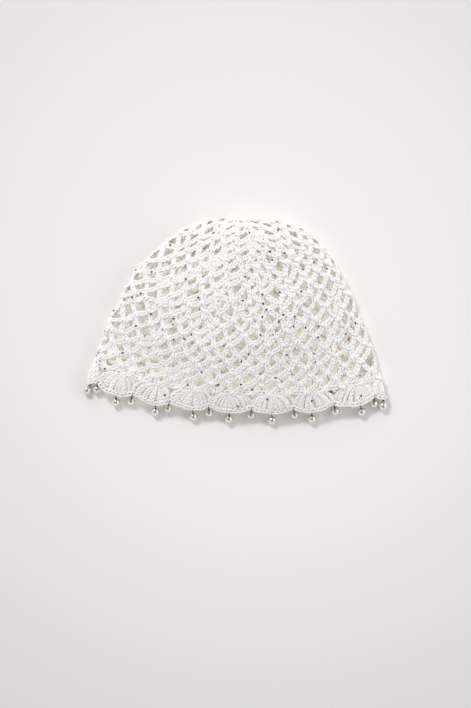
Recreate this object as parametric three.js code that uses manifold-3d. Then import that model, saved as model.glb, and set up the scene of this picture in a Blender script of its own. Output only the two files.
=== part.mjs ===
// A crochet cap laid down on its back, as it rests on a table: a flared net crown, a scalloped
// border of fan stitches, and pearl drops on wire loops all round the border's edge.
// Millimetres. X runs across the cap, +Y towards the top of the crown, +Z up from the table.
// The cap lies on z = 0, and the origin is at the bottom centre of its box.
import * as THREE from "three";
import Module from "manifold-3d";

// Sizes of the whole cap as it lies
const CAP_WIDTH = 272; // across the hem, fold to fold
const CAP_LENGTH = 176.5; // from the crown's top fold to the front hem
const CAP_HEIGHT = 44; // the padded-out middle, over the back layer's middle
const HEM_LEAN = 14; // how much lower the hem's right end lies than its left end
const CROWN_SHIFT = 6.5; // how far the top of the crown sits to the right of the hem's middle

// The fabric
const WALL = 2.6;
const BORDER_WIDTH = 20;
const SCALLOP_DEPTH = 5;
const SCALLOP_ROUNDNESS = 2.2; // a higher number gives fans with broader tips
const SEAM_GAP = 0.5; // between the net and the border, where real stitches join them

// The stitch pattern
const SHELLS = 16; // fans round the border, and columns of gaps round the net
const GAP_ROUNDS = 5; // rounds of gaps in the net
const GAP_OPENING = 0.46; // share of each net diamond that is open, along its width and its height
const GAP_ROUNDING = 1.25; // how far the sides of a gap bow out, against a straight-sided diamond
const CROWN_CENTRE = 0.19; // share of the way from the crown's centre to the hem with no gaps
const TIP_PHASE = 0.105; // where the first fan's tip stands, as a share of one fan

// The pearl drops, one at each fan's tip and one at each dip between fans
const PEARL_DIAMETER = 8;
const PEARL_SIDES = 10;
const PEARL_RINGS = 4;
const FRONT_REACH = 6.4; // from the front hem's edge out to the pearl's centre, in plan
const BACK_REACH = 5.5; // the same along the back hem, which lies lower
const TABLE_CLEARANCE = 0.05;
const WIRE_DIAMETER = 0.8;
const WIRE_SIDES = 5;
const WIRE_CLEARANCE = 0.54; // between the wire and the fabric that it goes round
const EYELET_INSET = 3.6; // from the hem's edge in to the middle of the eyelet
const EYELET_WIDTH = 2.4;
const EYELET_LENGTH = 3.2;

const MIDDLE_HEIGHT = CAP_HEIGHT - WALL; // height range of the middle of the wall
const SECTION_POINTS = 160;
const STEP = 1e-3; // for slopes, as a share

// Rounds of the lying cap, from the crown's centre to the hem.
// way: share of the distance along the side fold. shift: share of the crown's shift to the right.
// width: share of half the cap's width.
// side, front, back: how far up the cap the round lies at its fold and in the middle of its front
// and back layers, as shares of the length. top, floor: heights of those middles, and fold: radius
// of the side fold, as shares of the height.
const ROUND_COLUMNS = ["way", "shift", "width", "side", "front", "back", "top", "floor", "fold"];
const ROUNDS = [
  [0.0, 1.0, 0.0, 1.0, 1.0, 1.0, 0.42, 0.42, 0.0],
  [0.07, 1.0, 0.116, 0.999, 0.985, 0.985, 0.66, 0.2, 0.2],
  [0.14, 1.0, 0.224, 0.993, 0.95, 0.95, 0.82, 0.07, 0.26],
  [0.24, 0.95, 0.375, 0.952, 0.873, 0.88, 0.94, 0.0, 0.27],
  [0.36, 0.8, 0.525, 0.863, 0.735, 0.755, 1.0, 0.0, 0.26],
  [0.5, 0.3, 0.672, 0.729, 0.575, 0.605, 0.99, 0.0, 0.23],
  [0.68, 0.05, 0.8, 0.535, 0.368, 0.42, 0.86, 0.0, 0.18],
  [0.86, 0.0, 0.925, 0.3, 0.158, 0.235, 0.52, 0.0, 0.13],
  [1.0, 0.0, 1.0, 0.108, 0.0, 0.106, 0.24, 0.05, 0.09],
];

// How the front layer rises from its folds: a higher number holds its height nearer to the fold.
const LEFT_FULLNESS = 2.0;
const RIGHT_FULLNESS = 3.0;

// How a round drops from its folds to its lowest place in the middle, seen from above: a higher
// number drops sooner and lies straighter in the middle.
const LEFT_DROP = 3.0;
const RIGHT_DROP = 2.3;

// Soft dents in the front layer. turn and way place them, reach is their size as a share, and
// depth is a share of the height.
const DENTS = [
  { turn: 0.42, way: 0.82, reach: 0.07, depth: 0.06 },
  { turn: 0.3, way: 0.6, reach: 0.09, depth: 0.05 },
  { turn: 0.14, way: 0.74, reach: 0.07, depth: 0.05 },
  { turn: 0.2, way: 0.4, reach: 0.08, depth: 0.04 },
];

// The drops in order round the hem, from the right fold over the front layer and back under it.
// shift: millimetres that a tip or dip lies to the right of its even place, as the fans are pulled
// about. swing: degrees that its pearl swings to the right of straight out from the hem.
const FRONT_DROPS = [
  { shift: 7, swing: -15 },
  { shift: 10, swing: -14 },
  { shift: 13, swing: 4 },
  { shift: 7, swing: 4 },
  { shift: 3, swing: -4 },
  { shift: 4, swing: 6 },
  { shift: 1, swing: 0 },
  { shift: 0, swing: -5 },
  { shift: -3, swing: -6 },
  { shift: -5, swing: 5 },
  { shift: -2, swing: 8 },
  { shift: -7, swing: -6 },
  { shift: -1.5, swing: 5 },
  { shift: -6.5, swing: -4 },
  { shift: -3, swing: 6 },
  { shift: -4, swing: 3 },
  { shift: 0, swing: -12 },
];
const BACK_DROPS = [
  { shift: -2, swing: 8 },
  { shift: -1, swing: -10 },
  { shift: 2, swing: 3 },
  { shift: -1, swing: -12 },
  { shift: -3, swing: 5 },
  { shift: 1, swing: 9 },
  { shift: 3, swing: -4 },
  { shift: -1, swing: 12 },
  { shift: -2, swing: -6 },
  { shift: 2, swing: 10 },
  { shift: 1, swing: 4 },
  { shift: -2, swing: 10 },
  { shift: 3, swing: -5 },
  { shift: 6, swing: -10 },
  { shift: 9, swing: -12 },
];
const DROPS = [...FRONT_DROPS, ...BACK_DROPS];

// A smooth curve through a column of ROUNDS that never overshoots its values
function column(name) {
  const place = ROUND_COLUMNS.indexOf(name);
  const ways = ROUNDS.map((row) => row[0]);
  const values = ROUNDS.map((row) => row[place]);
  const last = ways.length - 1;
  const rises = [];
  for (let i = 0; i < last; i++) rises.push((values[i + 1] - values[i]) / (ways[i + 1] - ways[i]));
  const slopes = [rises[0]];
  for (let i = 1; i < last; i++) {
    const turns = rises[i - 1] * rises[i] <= 0;
    slopes.push(turns ? 0 : (2 * rises[i - 1] * rises[i]) / (rises[i - 1] + rises[i]));
  }
  slopes.push(rises[last - 1]);
  return (way) => {
    let i = 0;
    while (i < last - 1 && way > ways[i + 1]) i++;
    const span = ways[i + 1] - ways[i];
    const t = (way - ways[i]) / span;
    const back = 1 - t;
    return (
      values[i] * back * back * (1 + 2 * t) +
      values[i + 1] * t * t * (3 - 2 * t) +
      slopes[i] * span * t * back * back -
      slopes[i + 1] * span * t * t * back
    );
  };
}
const shift = column("shift");
const width = column("width");
const side = column("side");
const front = column("front");
const back = column("back");
const top = column("top");
const floor = column("floor");
const fold = column("fold");

// The outline of one round in its own plane: x across and z up, from the right fold over the front
// layer to the left fold, then back along the back layer. Each half is evenly spaced by length.
const rounds = new Map();
function roundAt(way) {
  const key = way.toFixed(6);
  if (rounds.has(key)) return rounds.get(key);
  const half = (CAP_WIDTH / 2) * width(way);
  const low = WALL / 2 + MIDDLE_HEIGHT * floor(way);
  const high = WALL / 2 + MIDDLE_HEIGHT * top(way);
  const radius = Math.min(MIDDLE_HEIGHT * fold(way), half * 0.98, (high - low) / 2);
  const reach = half - radius;
  const rise = Math.max(0, high - low - 2 * radius);
  const centre = low + radius;
  const overFront = [];
  const slopeAt = (x, power) => (-rise * power * Math.pow(Math.abs(x / reach), power - 1)) / reach;
  const tipAngle = (power) => (reach > 0 ? Math.PI / 2 - Math.atan(-slopeAt(reach, power)) : Math.PI / 2);
  const arcSteps = SECTION_POINTS / 8;
  for (let i = 0; i <= arcSteps; i++) {
    const angle = (tipAngle(RIGHT_FULLNESS) * i) / arcSteps;
    overFront.push([reach + radius * Math.cos(angle), centre + radius * Math.sin(angle)]);
  }
  for (let i = 1; i < SECTION_POINTS; i++) {
    const x = reach * (1 - (2 * i) / SECTION_POINTS);
    const power = x > 0 ? RIGHT_FULLNESS : LEFT_FULLNESS;
    const slope = Math.sign(x) * slopeAt(x, power);
    const tilt = 1 / Math.hypot(1, slope);
    const lift = rise * (1 - Math.pow(Math.abs(x / reach), power));
    overFront.push([x - radius * slope * tilt, centre + lift + radius * tilt]);
  }
  for (let i = arcSteps; i >= 0; i--) {
    const angle = (tipAngle(LEFT_FULLNESS) * i) / arcSteps;
    overFront.push([-reach - radius * Math.cos(angle), centre + radius * Math.sin(angle)]);
  }
  const underBack = [];
  for (let i = 0; i <= arcSteps; i++) {
    const angle = Math.PI + (Math.PI * i) / (2 * arcSteps);
    underBack.push([-reach + radius * Math.cos(angle), centre + radius * Math.sin(angle)]);
  }
  for (let i = 0; i <= arcSteps; i++) {
    const angle = (3 * Math.PI) / 2 + (Math.PI * i) / (2 * arcSteps);
    underBack.push([reach + radius * Math.cos(angle), centre + radius * Math.sin(angle)]);
  }
  const made = { half, halves: [measured(overFront), measured(underBack)] };
  rounds.set(key, made);
  return made;
}

function measured(points) {
  const lengths = [0];
  for (let i = 1; i < points.length; i++) {
    const step = Math.hypot(points[i][0] - points[i - 1][0], points[i][1] - points[i - 1][1]);
    lengths.push(lengths[i - 1] + step);
  }
  return { points, lengths };
}

function along({ points, lengths }, share) {
  const wanted = share * lengths[lengths.length - 1];
  let i = 1;
  while (i < lengths.length - 1 && lengths[i] < wanted) i++;
  const span = lengths[i] - lengths[i - 1];
  const t = span > 0 ? (wanted - lengths[i - 1]) / span : 0;
  return [0, 1].map((axis) => points[i - 1][axis] * (1 - t) + points[i][axis] * t);
}

// The middle of the cap's wall. turn goes once round the cap, from the right fold (0) over the
// front layer to the left fold (0.5) and back under it. way goes from the crown's centre to the hem.
function middle(turn, way) {
  const round = turn - Math.floor(turn);
  const inFront = round < 0.5;
  const section = roundAt(way);
  const [x, z] = along(section.halves[inFront ? 0 : 1], inFront ? round * 2 : round * 2 - 1);
  const across = section.half > 0 ? Math.min(1, Math.abs(x) / section.half) : 1;
  const centre = inFront ? front(way) : back(way);
  const drop = 1 - Math.pow(across, x < 0 ? LEFT_DROP : RIGHT_DROP);
  const up = CAP_LENGTH * (side(way) - (side(way) - centre) * drop);
  let dent = 0;
  for (const d of DENTS) {
    const gap = ((round - d.turn) / d.reach) ** 2 + ((way - d.way) / d.reach) ** 2;
    dent += MIDDLE_HEIGHT * d.depth * Math.exp(-gap);
  }
  const lean = (HEM_LEAN * x * way * way) / CAP_WIDTH;
  return new THREE.Vector3(x + CROWN_SHIFT * shift(way), up - lean, z - (inFront ? dent : 0));
}

// A place in the middle of the wall, with its directions down to the hem and out of the fabric
function frameAt(turn, way) {
  const at = middle(turn, way);
  if (way < STEP) return { at, down: new THREE.Vector3(0, 0, 1), out: new THREE.Vector3(0, 1, 0) };
  const lower = Math.min(1, way + STEP);
  const upper = lower - 2 * STEP;
  const round = middle(turn + STEP, way).sub(middle(turn - STEP, way));
  const down = middle(turn, lower).sub(middle(turn, upper));
  const out = new THREE.Vector3().crossVectors(round, down).normalize();
  return { at, down: down.normalize(), out };
}

// Millimetres of fabric for each whole unit of way, at the hem
function hemSpeed(turn) {
  return middle(turn, 1).distanceTo(middle(turn, 1 - STEP)) / STEP;
}

// Collects points on both faces of the wall, and the faces between them, into one closed mesh
class Wall {
  constructor(thickness) {
    this.thickness = thickness;
    this.places = new Map();
    this.positions = [];
    this.faces = [];
  }

  // A place on the wall as the numbers of its outer and inner points
  place(turn, way) {
    const round = way < STEP ? 0 : turn - Math.floor(turn);
    const key = `${round.toFixed(6)} ${way.toFixed(6)}`;
    if (!this.places.has(key)) {
      const { at, out } = frameAt(round, way);
      const number = this.positions.length / 3;
      for (const face of [1, -1]) {
        const p = at.clone().addScaledVector(out, (face * this.thickness) / 2);
        this.positions.push(p.x, p.y, Math.max(p.z, 0));
      }
      this.places.set(key, [number, number + 1]);
    }
    return this.places.get(key);
  }

  triangle(a, b, c) {
    this.faces.push(a[0], b[0], c[0], c[1], b[1], a[1]);
  }

  quad(a, b, c, d) {
    this.triangle(a, b, c);
    this.triangle(a, c, d);
  }

  // A cut face through the wall, with the fabric on the right of the way from a to b
  edge(a, b) {
    this.faces.push(a[0], b[0], b[1], a[0], b[1], a[1]);
  }

  geometry() {
    const made = new THREE.BufferGeometry();
    made.setAttribute("position", new THREE.Float32BufferAttribute(this.positions, 3));
    made.setIndex(this.faces);
    made.computeVertexNormals();
    return made;
  }
}

const borderTop = (turn) => 1 - BORDER_WIDTH / hemSpeed(turn);

// Net crown: diamonds of strands round open gaps, closed at the crown's centre. A place in the
// pattern is counted in half columns round the cap and in rounds down it.
function netCrown() {
  const wall = new Wall(WALL);
  const columns = 2 * SHELLS;
  const lines = GAP_ROUNDS + 1;
  const at = (column, line) => {
    const turn = (column / 2 + TIP_PHASE) / SHELLS;
    const share = line / lines;
    const hem = borderTop(turn) - SEAM_GAP / hemSpeed(turn);
    return [turn, CROWN_CENTRE + (hem - CROWN_CENTRE) * share];
  };
  // Corners and edge middles of the diamond round a place, in the order that faces out
  const HALF = 0.5;
  const DIAMOND = [
    [1, 0],
    [HALF, HALF],
    [0, 1],
    [-HALF, HALF],
    [-1, 0],
    [-HALF, -HALF],
    [0, -1],
    [HALF, -HALF],
  ];
  for (let line = 0; line <= lines; line++) {
    for (let column = 0; column < columns; column++) {
      if ((column + line) % 2 === 0) continue;
      const corners = DIAMOND.map(([c, l]) => [column + c, line + l]);
      if (line > 0 && line < lines) {
        const rim = corners.map(([c, l]) => wall.place(...at(c, l)));
        const gap = corners.map(([c, l], k) => {
          const open = k % 2 ? GAP_OPENING * GAP_ROUNDING : GAP_OPENING;
          return wall.place(...at(column + (c - column) * open, line + (l - line) * open));
        });
        for (let k = 0; k < rim.length; k++) {
          const next = (k + 1) % rim.length;
          wall.quad(gap[k], rim[k], rim[next], gap[next]);
          wall.edge(gap[k], gap[next]);
        }
      } else {
        // Half diamonds finish the net at the crown's centre and at the border
        const kept = line === 0 ? [0, 1, 2, 3, 4] : [4, 5, 6, 7, 0];
        const fan = kept.map((k) => wall.place(...at(...corners[k])));
        const hub = wall.place(...at(column, line));
        for (let k = 0; k + 1 < fan.length; k++) wall.triangle(hub, fan[k], fan[k + 1]);
      }
    }
  }
  for (let column = 0; column < columns; column++) {
    wall.edge(wall.place(...at(column, lines)), wall.place(...at(column + 1, lines)));
    // The closed centre: a ring and then a fan to the middle
    const outer = [0, 1].map((c) => wall.place(...at(column + c, 0)));
    const inner = [0, 1].map((c) => wall.place(at(column + c, 0)[0], CROWN_CENTRE / 2));
    wall.quad(inner[0], inner[1], outer[1], outer[0]);
    wall.triangle(inner[1], inner[0], wall.place(0, 0));
  }
  return wall.geometry();
}

// Millimetres of hem for each whole unit of turn
function roundSpeed(turn) {
  return middle(turn + STEP, 1).distanceTo(middle(turn - STEP, 1)) / (2 * STEP);
}

// The turn at which each drop stands. A number past the last drop is the first drop again.
const dropTurns = DROPS.map(({ shift }, drop) => {
  const evenly = (drop / 2 + TIP_PHASE) / SHELLS;
  return evenly - shift / roundSpeed(evenly);
});
function dropTurn(drop) {
  const rounds = Math.floor(drop / DROPS.length);
  return dropTurns[drop - rounds * DROPS.length] + rounds;
}

// Where the hem's edge lies: full width at a fan's tip, less in the dips between fans
function hemWay(turn) {
  const round = turn - Math.floor(turn);
  let drop = -1;
  while (dropTurn(drop + 1) <= round) drop++;
  const share = (round - dropTurn(drop)) / (dropTurn(drop + 1) - dropTurn(drop));
  const fromTip = drop % 2 === 0 ? share : 1 - share;
  return 1 - (SCALLOP_DEPTH * Math.pow(fromTip, SCALLOP_ROUNDNESS)) / hemSpeed(turn);
}

// Scalloped border: a closed band of fans, with an eyelet near its edge for each drop's wire
function shellBorder() {
  const wall = new Wall(WALL);
  const BETWEEN_EYELETS = [0.36, 0.68];
  const COLUMNS = 2 + BETWEEN_EYELETS.length; // to each drop, the first of them the eyelet's own
  const turns = [];
  for (let drop = 0; drop < DROPS.length; drop++) {
    const turn = dropTurn(drop);
    const next = dropTurn(drop + 1);
    const hole = EYELET_WIDTH / 2 / roundSpeed(turn);
    turns.push(turn - hole, turn + hole);
    for (const share of BETWEEN_EYELETS) turns.push(turn + (next - turn) * share);
  }
  const count = turns.length;
  const column = (k) => {
    const turn = turns[k % count] + Math.floor(k / count);
    const hem = hemWay(turn);
    const inset = (mm) => hem - mm / hemSpeed(turn);
    const eyelet = [inset(EYELET_INSET + EYELET_LENGTH / 2), inset(EYELET_INSET - EYELET_LENGTH / 2)];
    return [borderTop(turn), ...eyelet, hem].map((way) => wall.place(turn, way));
  };
  for (let k = 0; k < count; k++) {
    const here = column(k);
    const next = column(k + 1);
    for (let band = 0; band < 3; band++) {
      const isEyelet = band === 1 && k % COLUMNS === 0;
      if (!isEyelet) {
        wall.quad(here[band], next[band], next[band + 1], here[band + 1]);
        continue;
      }
      wall.edge(here[band], next[band]);
      wall.edge(next[band], next[band + 1]);
      wall.edge(next[band + 1], here[band + 1]);
      wall.edge(here[band + 1], here[band]);
    }
    wall.edge(next[0], here[0]);
    wall.edge(here[3], next[3]);
  }
  return wall.geometry();
}

const wasm = await Module();
wasm.setup();

// A three.js geometry as a solid that can be joined, and back
function solid(geometry) {
  const position = geometry.getAttribute("position");
  const index = geometry.getIndex();
  const seen = new Map();
  const points = [];
  const numbers = [];
  for (let i = 0; i < position.count; i++) {
    const p = [position.getX(i), position.getY(i), position.getZ(i)];
    const key = p.map((value) => value.toFixed(4)).join(" ");
    if (!seen.has(key)) {
      seen.set(key, points.length / 3);
      points.push(...p);
    }
    numbers.push(seen.get(key));
  }
  const corners = index ? Array.from(index.array, (i) => numbers[i]) : numbers;
  const kept = [];
  for (let i = 0; i < corners.length; i += 3) {
    const [a, b, c] = corners.slice(i, i + 3);
    if (a !== b && b !== c && c !== a) kept.push(a, b, c);
  }
  const vertProperties = new Float32Array(points);
  const triVerts = new Uint32Array(kept);
  return new wasm.Manifold(new wasm.Mesh({ numProp: 3, vertProperties, triVerts }));
}

function geometryOf(made) {
  const mesh = made.getMesh();
  const geometry = new THREE.BufferGeometry();
  geometry.setAttribute("position", new THREE.Float32BufferAttribute(mesh.vertProperties, 3));
  geometry.setIndex(new THREE.BufferAttribute(mesh.triVerts, 1));
  geometry.computeVertexNormals();
  return geometry;
}

// A curve that is sampled at its own points, so that a bent wire keeps its corners
class BentWire extends THREE.CatmullRomCurve3 {
  getUtoTmapping(share) {
    return share;
  }
}

// One drop: a pearl on a bent wire whose loop goes through the eyelet and round the hem's edge
function pearlDrop(drop) {
  const turn = dropTurn(drop);
  const hem = hemWay(turn);
  const edge = frameAt(turn, hem);
  const eyelet = middle(turn, hem - EYELET_INSET / hemSpeed(turn));
  const radius = PEARL_DIAMETER / 2;

  const outward = new THREE.Vector3(edge.down.x, edge.down.y, 0).normalize();
  const along = new THREE.Vector3(-outward.y, outward.x, 0);
  const reach = drop < FRONT_DROPS.length ? FRONT_REACH : BACK_REACH;
  const angle = THREE.MathUtils.degToRad(DROPS[drop].swing);
  const centre = edge.at.clone();
  centre.addScaledVector(outward, reach * Math.cos(angle));
  centre.addScaledVector(along, reach * Math.sin(angle));
  centre.z = radius + TABLE_CLEARANCE;

  const apart = WALL / 2 + WIRE_CLEARANCE + WIRE_DIAMETER / 2;
  const leg = (out, down) => {
    const point = edge.at.clone().addScaledVector(edge.out, out);
    return point.addScaledVector(edge.down, down);
  };
  const above = [leg(apart, WIRE_CLEARANCE), leg(apart, -EYELET_INSET * 0.55)];
  const below = [leg(-apart, -EYELET_INSET * 0.55), leg(-apart, WIRE_CLEARANCE)];
  const inPearl = (from) => centre.clone().lerp(from, (radius * 0.6) / centre.distanceTo(from));
  const points = [inPearl(above[0]), ...above, eyelet, ...below, inPearl(below[1])];
  const route = new BentWire(points);
  const section = new THREE.Shape();
  for (let i = 0; i < WIRE_SIDES; i++) {
    const angle = (2 * Math.PI * i) / WIRE_SIDES;
    const p = [(WIRE_DIAMETER / 2) * Math.cos(angle), (WIRE_DIAMETER / 2) * Math.sin(angle)];
    if (i === 0) section.moveTo(...p);
    else section.lineTo(...p);
  }
  section.closePath();
  const wire = new THREE.ExtrudeGeometry(section, { steps: points.length - 1, extrudePath: route });
  const pearl = new THREE.SphereGeometry(radius, PEARL_SIDES, PEARL_RINGS);
  pearl.rotateX(Math.PI / 2).translate(centre.x, centre.y, centre.z);
  return geometryOf(solid(pearl).add(solid(wire)));
}

const cotton = new THREE.MeshStandardMaterial({ color: 0xf4f2ec, roughness: 0.95, metalness: 0 });
const pearlCoat = new THREE.MeshStandardMaterial({ color: 0xf0ebe6, roughness: 0.22, metalness: 0 });

function piece(name, geometry, material) {
  const mesh = new THREE.Mesh(geometry, material);
  mesh.name = name;
  return mesh;
}

const pieces = new THREE.Group();
pieces.add(piece("net_crown", netCrown(), cotton));
pieces.add(piece("shell_border", shellBorder(), cotton));
for (let drop = 0; drop < DROPS.length; drop++) {
  const name = `pearl_drop_${String(drop + 1).padStart(2, "0")}`;
  pieces.add(piece(name, pearlDrop(drop), pearlCoat));
}

// Bring the origin to the bottom centre of the whole cap
const box = new THREE.Box3().setFromObject(pieces, true);
pieces.position.set(-(box.min.x + box.max.x) / 2, -(box.min.y + box.max.y) / 2, -box.min.z);

const cap = new THREE.Group();
cap.add(pieces);

export default cap;
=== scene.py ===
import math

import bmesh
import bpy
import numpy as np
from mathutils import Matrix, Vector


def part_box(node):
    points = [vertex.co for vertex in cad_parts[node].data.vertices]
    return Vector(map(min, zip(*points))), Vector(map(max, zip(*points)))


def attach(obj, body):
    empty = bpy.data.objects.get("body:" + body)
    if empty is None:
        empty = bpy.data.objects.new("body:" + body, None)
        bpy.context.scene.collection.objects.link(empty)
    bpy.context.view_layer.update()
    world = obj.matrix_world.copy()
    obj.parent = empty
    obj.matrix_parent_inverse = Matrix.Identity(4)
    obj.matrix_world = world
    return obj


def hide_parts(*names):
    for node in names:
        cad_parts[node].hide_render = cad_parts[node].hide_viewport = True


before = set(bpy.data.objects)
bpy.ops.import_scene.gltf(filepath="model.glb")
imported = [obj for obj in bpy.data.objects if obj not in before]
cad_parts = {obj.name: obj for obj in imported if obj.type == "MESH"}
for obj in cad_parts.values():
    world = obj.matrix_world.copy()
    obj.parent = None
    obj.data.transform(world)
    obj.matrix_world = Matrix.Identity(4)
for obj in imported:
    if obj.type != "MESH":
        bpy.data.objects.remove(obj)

# %% [markdown]
# # A crochet cap, laid flat
# The real thing is a flared cap worked in thick white cotton: a net of chain loops from the
# crown's centre down to the hem, a border of fan stitches, a pearl on a wire ring at each fan's
# tip and dip, and small dark studs pressed on here and there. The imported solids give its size
# and the way it lies. Here each stitch is made as yarn and laid on that same shape.

MM = 0.001
TAU = 2 * math.pi
rng = np.random.default_rng(11)

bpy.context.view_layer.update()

# %% [markdown]
# ## The shape of the lying cap
# Every stitch has to sit on the cap, so its shape comes first. Modelling a smooth cap and
# snapping stitches to it would work, but a function is easier to follow: it takes a place on
# the cap, as a turn round it and a way from crown to hem, and gives the point in space. The
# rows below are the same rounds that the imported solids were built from.

# %% The rounds of the lying cap
CAP_WIDTH = 272 * MM
CAP_LENGTH = 176.5 * MM
CAP_HEIGHT = 44 * MM
WALL = 2.6 * MM
HEM_LEAN = 14 * MM  # how much further down, in -Y, the hem's right end lies than its left
CROWN_SHIFT = 6.5 * MM  # how far the top of the crown sits to the right of the hem's middle
LEFT_FULLNESS, RIGHT_FULLNESS = 2.0, 3.0  # a higher number keeps the arch high further out
LEFT_DROP, RIGHT_DROP = 3.0, 2.3  # the same for the curve of a round as seen from above
MIDDLE_HEIGHT = CAP_HEIGHT - WALL

ROUND_COLUMNS = ("way", "shift", "width", "side", "front", "back", "top", "floor", "fold")
ROUNDS = np.array([
    (0.00, 1.00, 0.000, 1.000, 1.000, 1.000, 0.42, 0.42, 0.00),
    (0.07, 1.00, 0.116, 0.999, 0.985, 0.985, 0.66, 0.20, 0.20),
    (0.14, 1.00, 0.224, 0.993, 0.950, 0.950, 0.82, 0.07, 0.26),
    (0.24, 0.95, 0.375, 0.952, 0.873, 0.880, 0.94, 0.00, 0.27),
    (0.36, 0.80, 0.525, 0.863, 0.735, 0.755, 1.00, 0.00, 0.26),
    (0.50, 0.30, 0.672, 0.729, 0.575, 0.605, 0.99, 0.00, 0.23),
    (0.68, 0.05, 0.800, 0.535, 0.368, 0.420, 0.86, 0.00, 0.18),
    (0.86, 0.00, 0.925, 0.300, 0.158, 0.235, 0.52, 0.00, 0.13),
    (1.00, 0.00, 1.000, 0.108, 0.000, 0.106, 0.24, 0.05, 0.09),
])
DENTS = [  # turn, way, reach, depth as a share of the height
    (0.42, 0.82, 0.07, 0.06),
    (0.30, 0.60, 0.09, 0.05),
    (0.14, 0.74, 0.07, 0.05),
    (0.20, 0.40, 0.08, 0.04),
]
print("rounds:", len(ROUNDS), "dents:", len(DENTS))

# %% [markdown]
# ### Curves through the columns
# Soft fabric has no corners between one round and the next. Straight steps between the rows
# would show as rings on the cap, and an ordinary smooth curve swings past its values. So each
# column gets a curve that lies level wherever its values turn back, which never overshoots.


# %% A smooth curve for each column
def column(name):
    """A smooth curve through one column of the rounds that never overshoots its values."""
    ways, values = ROUNDS[:, 0], ROUNDS[:, ROUND_COLUMNS.index(name)]
    rises = np.diff(values) / np.diff(ways)
    slopes = np.concatenate([rises[:1], np.zeros(len(rises) - 1), rises[-1:]])
    same = rises[:-1] * rises[1:] > 0
    slopes[1:-1][same] = (2 * rises[:-1] * rises[1:])[same] / (rises[:-1] + rises[1:])[same]

    def value(way):
        i = int(np.clip(np.searchsorted(ways, way) - 1, 0, len(rises) - 1))
        span = ways[i + 1] - ways[i]
        t = (way - ways[i]) / span
        back = 1 - t
        return (values[i] * back * back * (1 + 2 * t) + values[i + 1] * t * t * (3 - 2 * t)
                + slopes[i] * span * t * back * back - slopes[i + 1] * span * t * t * back)

    return value


CURVES = {name: column(name) for name in ROUND_COLUMNS[1:]}
print("curves:", ", ".join(CURVES))

# %% [markdown]
# ### One round, seen along the cap
# Cut across, the lying cap is a low arch over a flat back layer, with a round fold at each side.
# One such outline could be drawn by hand, but it changes all the way from crown to hem. So a
# function draws it from the curves: a power curve for the arch and an arc for each fold.

# %% The outline of a round
HALF_TURN = 240  # samples from one side fold to the other
FOLD_POINTS, ARCH_POINTS = 21, 161
WIDEST_FOLD = 0.98  # share of half the width that a fold's radius may take


def even(points, count):
    """The same line with evenly spaced points."""
    points = np.array(points)
    steps = np.hypot(*np.diff(points, axis=0).T)
    along = np.concatenate([[0], np.cumsum(steps)])
    wanted = np.linspace(0, along[-1], count)
    return np.stack([np.interp(wanted, along, points[:, k]) for k in (0, 1)], axis=1)


def round_outline(way):
    """Half the width, then the front and the back layer as lines of (across, up)."""
    half = CAP_WIDTH / 2 * max(CURVES["width"](way), 1e-6)
    low = WALL / 2 + MIDDLE_HEIGHT * CURVES["floor"](way)
    high = WALL / 2 + MIDDLE_HEIGHT * CURVES["top"](way)
    radius = min(MIDDLE_HEIGHT * CURVES["fold"](way), half * WIDEST_FOLD, (high - low) / 2)
    reach, rise, centre = half - radius, max(0, high - low - 2 * radius), low + radius

    def front_at(x):
        power = RIGHT_FULLNESS if x > 0 else LEFT_FULLNESS
        t = abs(x / reach)
        slope = -math.copysign(rise * power * t ** (power - 1) / reach, x)
        tilt = 1 / math.hypot(1, slope)
        return x - radius * slope * tilt, centre + rise * (1 - t ** power) + radius * tilt

    def arc(start, end, side):
        return [(side * reach + radius * math.cos(a), centre + radius * math.sin(a))
                for a in np.linspace(start, end, FOLD_POINTS)]

    right = math.pi / 2 - math.atan(rise * RIGHT_FULLNESS / reach)
    left = math.pi / 2 + math.atan(rise * LEFT_FULLNESS / reach)
    over = arc(0, right, 1)
    over += [front_at(x) for x in np.linspace(reach, -reach, ARCH_POINTS)[1:-1]]
    over += arc(left, math.pi, -1)
    under = arc(math.pi, 1.5 * math.pi, -1) + arc(1.5 * math.pi, TAU, 1)
    return half, even(over, HALF_TURN + 1), even(under, HALF_TURN + 1)


print("hem, half its width in mm:", round(round_outline(1.0)[0] / MM, 1))

# %% [markdown]
# ### All the rounds together
# On the real cap the rounds bow towards the hem, the hem leans, the crown sits a little to the
# right and the front has soft dents. All of that could be sculpted afterwards, but then the
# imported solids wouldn't match. So each round is bent by the same rules, and the rounds become a
# grid of points, with the direction out of the fabric at each.

# %% The cap as a grid of points
WAY_END, WAY_STEPS = 1.04, 208  # the grid goes a little past the hem


def round_points(way):
    half, over, under = round_outline(way)
    section = np.concatenate([over[:-1], under])
    x, z = section.T
    in_front = np.arange(len(x)) < HALF_TURN
    across = np.minimum(1, np.abs(x) / half)
    drop = 1 - across ** np.where(x < 0, LEFT_DROP, RIGHT_DROP)
    middle = np.where(in_front, CURVES["front"](way), CURVES["back"](way))
    y = CAP_LENGTH * (CURVES["side"](way) - (CURVES["side"](way) - middle) * drop)
    turn = np.arange(len(x)) / (2 * HALF_TURN)
    for at_turn, at_way, size, depth in DENTS:
        gap = ((turn - at_turn) / size) ** 2 + ((way - at_way) / size) ** 2
        z = z - in_front * MIDDLE_HEIGHT * depth * np.exp(-gap)
    x_shifted = x + CROWN_SHIFT * CURVES["shift"](way)
    return np.stack([x_shifted, y - HEM_LEAN * x * way * way / CAP_WIDTH, z], axis=1)


cap_points = np.stack([round_points(w) for w in np.linspace(0, WAY_END, WAY_STEPS + 1)])
border_low, border_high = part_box("shell_border")
net_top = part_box("net_crown")[1][1]
cap_points += [(border_low[0] + border_high[0]) / 2, net_top - CAP_LENGTH - WALL / 2, 0]

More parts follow.
